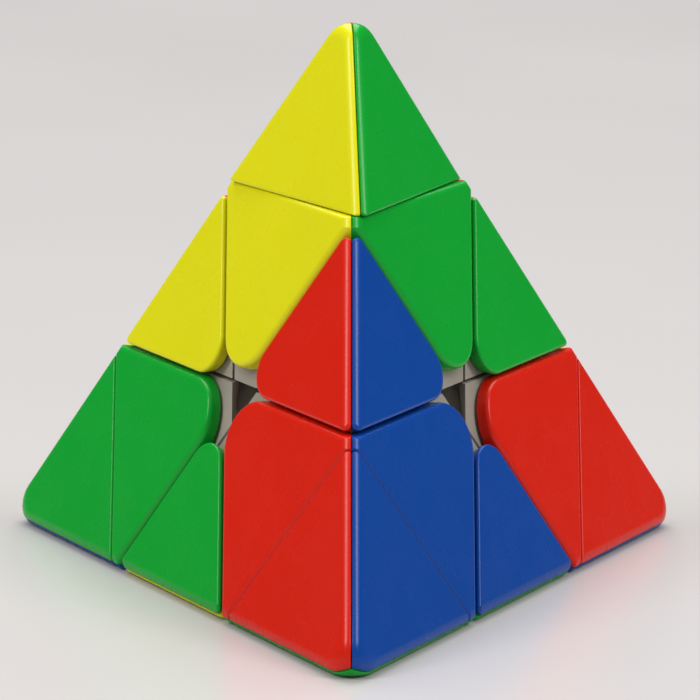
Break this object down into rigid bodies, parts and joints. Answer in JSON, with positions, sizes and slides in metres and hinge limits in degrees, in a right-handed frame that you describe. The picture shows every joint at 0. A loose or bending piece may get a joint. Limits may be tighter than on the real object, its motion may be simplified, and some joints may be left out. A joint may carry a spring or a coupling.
{
  "type": "tetrahedral twisty puzzle",
  "caption": "Tetrahedral twisty puzzle with turning corners and tips, coloured plastic shells on pale bases round a core with sprung screws.",
  "frame": {"origin": "centre of the core, where the four turning axes meet; it is also the puzzle's centroid", "axes": "+Z along the top corner's turning axis; -Y towards the front corner's ridge, so that the right corner lies towards +X and +Y and the left one towards -X and +Y"},
  "size_m": [0.0962, 0.0841, 0.079],
  "materials": {
    "red_plastic": "satin-gloss moulded ABS",
    "green_plastic": "satin-gloss moulded ABS",
    "blue_plastic": "satin-gloss moulded ABS",
    "yellow_plastic": "satin-gloss moulded ABS",
    "base_plastic": "off-white moulded ABS, satin",
    "core_plastic": "off-white moulded nylon",
    "steel": "zinc-plated steel"
  },
  "bodies": {
    "core": {"core": "core_plastic", "top_screw": "steel", "top_spring": "steel", "front_screw": "steel", "front_spring": "steel", "left_screw": "steel", "left_spring": "steel", "right_screw": "steel", "right_spring": "steel"},
    "top_corner": {"top_corner_base": "base_plastic", "top_corner_shell_yellow": "yellow_plastic", "top_corner_shell_green": "green_plastic", "top_corner_shell_red": "red_plastic"},
    "top_tip": {"top_tip_base": "base_plastic", "top_tip_shell_yellow": "yellow_plastic", "top_tip_shell_green": "green_plastic", "top_tip_shell_red": "red_plastic"},
    "front_corner": {"front_corner_base": "base_plastic", "front_corner_shell_red": "red_plastic", "front_corner_shell_blue": "blue_plastic", "front_corner_shell_green": "green_plastic"},
    "front_tip": {"front_tip_base": "base_plastic", "front_tip_shell_red": "red_plastic", "front_tip_shell_blue": "blue_plastic", "front_tip_shell_green": "green_plastic"},
    "left_corner": {"left_corner_base": "base_plastic", "left_corner_shell_green": "green_plastic", "left_corner_shell_yellow": "yellow_plastic", "left_corner_shell_blue": "blue_plastic"},
    "left_tip": {"left_tip_base": "base_plastic", "left_tip_shell_green": "green_plastic", "left_tip_shell_yellow": "yellow_plastic", "left_tip_shell_blue": "blue_plastic"},
    "right_corner": {"right_corner_base": "base_plastic", "right_corner_shell_red": "red_plastic", "right_corner_shell_yellow": "yellow_plastic", "right_corner_shell_blue": "blue_plastic"},
    "right_tip": {"right_tip_base": "base_plastic", "right_tip_shell_red": "red_plastic", "right_tip_shell_yellow": "yellow_plastic", "right_tip_shell_blue": "blue_plastic"},
    "top_front_edge": {"top_front_edge_base": "base_plastic", "top_front_edge_shell_red": "red_plastic", "top_front_edge_shell_blue": "blue_plastic"},
    "top_right_edge": {"top_right_edge_base": "base_plastic", "top_right_edge_shell_green": "green_plastic", "top_right_edge_shell_red": "red_plastic"},
    "top_left_edge": {"top_left_edge_base": "base_plastic", "top_left_edge_shell_yellow": "yellow_plastic", "top_left_edge_shell_red": "red_plastic"},
    "front_right_edge": {"front_right_edge_base": "base_plastic", "front_right_edge_shell_blue": "blue_plastic", "front_right_edge_shell_green": "green_plastic"},
    "front_left_edge": {"front_left_edge_base": "base_plastic", "front_left_edge_shell_green": "green_plastic", "front_left_edge_shell_yellow": "yellow_plastic"},
    "left_right_edge": {"left_right_edge_base": "base_plastic", "left_right_edge_shell_blue": "blue_plastic", "left_right_edge_shell_yellow": "yellow_plastic"}
  },
  "joints": [
    {"name": "top_layer_turn", "type": "hinge", "parent": "core", "child": "top_corner", "pos_m": [0, 0, 0], "axis": [0, 0, 1], "range_deg": [-240, 120]},
    {"name": "front_layer_turn", "type": "hinge", "parent": "core", "child": "front_corner", "pos_m": [0, 0, 0], "axis": [0, -0.9428, -0.3333], "range_deg": [-240, 120]},
    {"name": "left_layer_turn", "type": "hinge", "parent": "core", "child": "left_corner", "pos_m": [0, 0, 0], "axis": [-0.8165, 0.4714, -0.3333], "range_deg": [-240, 120]},
    {"name": "right_layer_turn", "type": "hinge", "parent": "core", "child": "right_corner", "pos_m": [0, 0, 0], "axis": [0.8165, 0.4714, -0.3333], "range_deg": [-240, 120]},
    {"name": "top_tip_turn", "type": "hinge", "parent": "top_corner", "child": "top_tip", "pos_m": [0, 0, 0], "axis": [0, 0, 1], "continuous": true},
    {"name": "front_tip_turn", "type": "hinge", "parent": "front_corner", "child": "front_tip", "pos_m": [0, 0, 0], "axis": [0, -0.9428, -0.3333], "continuous": true},
    {"name": "left_tip_turn", "type": "hinge", "parent": "left_corner", "child": "left_tip", "pos_m": [0, 0, 0], "axis": [-0.8165, 0.4714, -0.3333], "continuous": true},
    {"name": "right_tip_turn", "type": "hinge", "parent": "right_corner", "child": "right_tip", "pos_m": [0, 0, 0], "axis": [0.8165, 0.4714, -0.3333], "continuous": true},
    {"name": "top_front_edge_with_front_layer", "type": "hinge", "parent": "top_corner", "child": "top_front_edge", "pos_m": [0, 0, 0], "axis": [0, -0.9428, -0.3333], "range_deg": [-240, 120]},
    {"name": "top_right_edge_with_right_layer", "type": "hinge", "parent": "top_corner", "child": "top_right_edge", "pos_m": [0, 0, 0], "axis": [0.8165, 0.4714, -0.3333], "range_deg": [-240, 120]},
    {"name": "top_left_edge_with_left_layer", "type": "hinge", "parent": "top_corner", "child": "top_left_edge", "pos_m": [0, 0, 0], "axis": [-0.8165, 0.4714, -0.3333], "range_deg": [-240, 120]},
    {"name": "front_right_edge_with_right_layer", "type": "hinge", "parent": "front_corner", "child": "front_right_edge", "pos_m": [0, 0, 0], "axis": [0.8165, 0.4714, -0.3333], "range_deg": [-240, 120]},
    {"name": "front_left_edge_with_front_layer", "type": "hinge", "parent": "left_corner", "child": "front_left_edge", "pos_m": [0, 0, 0], "axis": [0, -0.9428, -0.3333], "range_deg": [-240, 120]},
    {"name": "left_right_edge_with_left_layer", "type": "hinge", "parent": "right_corner", "child": "left_right_edge", "pos_m": [0, 0, 0], "axis": [-0.8165, 0.4714, -0.3333], "range_deg": [-240, 120]}
  ],
  "couplings": [
    {"joint": "top_front_edge_with_front_layer", "follows": "front_layer_turn", "ratio": 1},
    {"joint": "top_right_edge_with_right_layer", "follows": "right_layer_turn", "ratio": 1},
    {"joint": "top_left_edge_with_left_layer", "follows": "left_layer_turn", "ratio": 1},
    {"joint": "front_right_edge_with_right_layer", "follows": "right_layer_turn", "ratio": 1},
    {"joint": "front_left_edge_with_front_layer", "follows": "front_layer_turn", "ratio": 1},
    {"joint": "left_right_edge_with_left_layer", "follows": "left_layer_turn", "ratio": 1}
  ]
}
